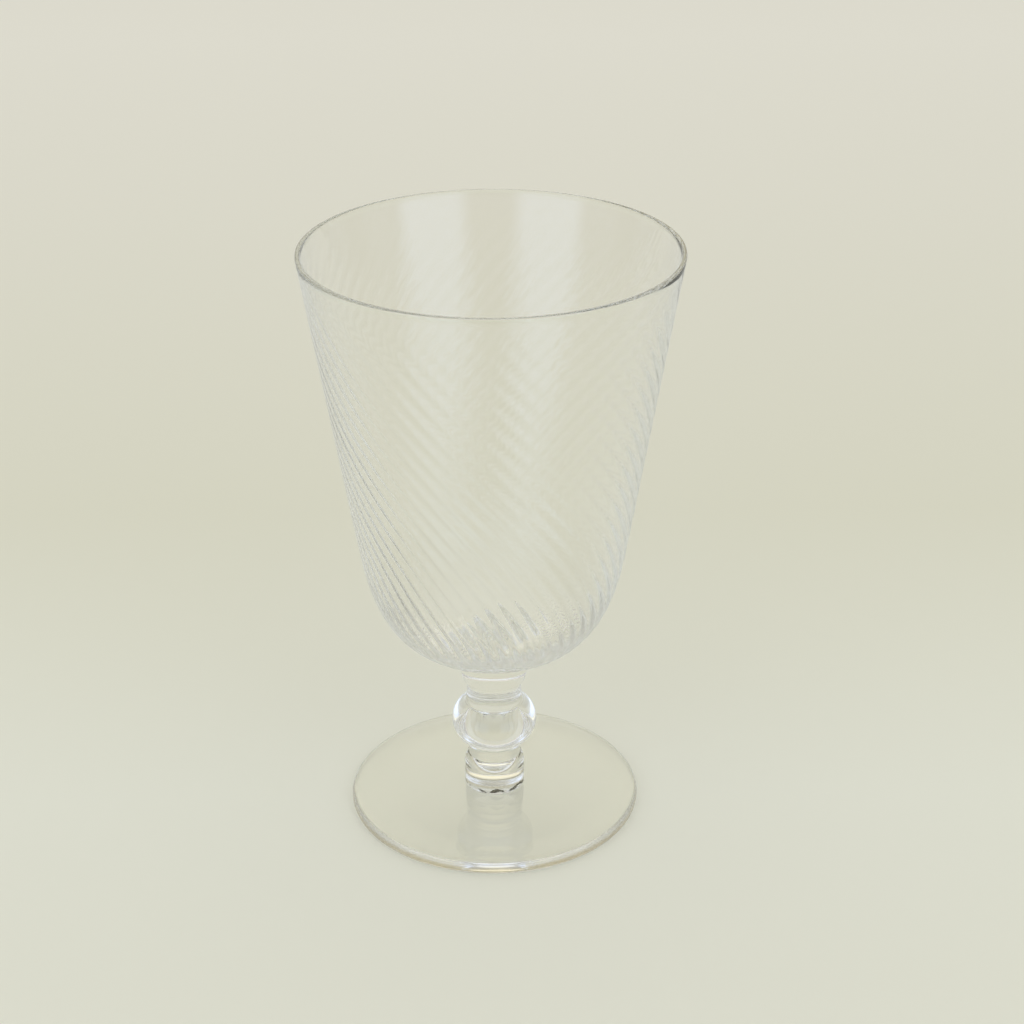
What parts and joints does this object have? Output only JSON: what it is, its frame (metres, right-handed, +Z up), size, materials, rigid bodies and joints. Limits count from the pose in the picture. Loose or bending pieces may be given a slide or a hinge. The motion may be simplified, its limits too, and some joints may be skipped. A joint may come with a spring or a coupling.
{
  "type": "water goblet",
  "caption": "Stemmed clear drinking glass: thin tapered bowl with swirl ribs on a short ball stem and a flat round foot.",
  "frame": {"origin": "middle of the flat ring that the foot rests on, at the bottom of the goblet", "axes": "+Z up along the goblet's axis; the goblet is round, so +X and +Y point to no special side"},
  "size_m": [0.09, 0.09, 0.1485],
  "materials": {
    "bowl_glass": "clear, fire-polished, with wound ribs",
    "stem_glass": "clear, fire-polished",
    "foot_glass": "clear, fire-polished, ground hollow beneath"
  },
  "bodies": {
    "root": {"bowl": "bowl_glass", "bowl_neck": "stem_glass", "knop": "stem_glass", "waist": "stem_glass", "foot_collar": "stem_glass", "foot": "foot_glass"}
  },
  "joints": []
}
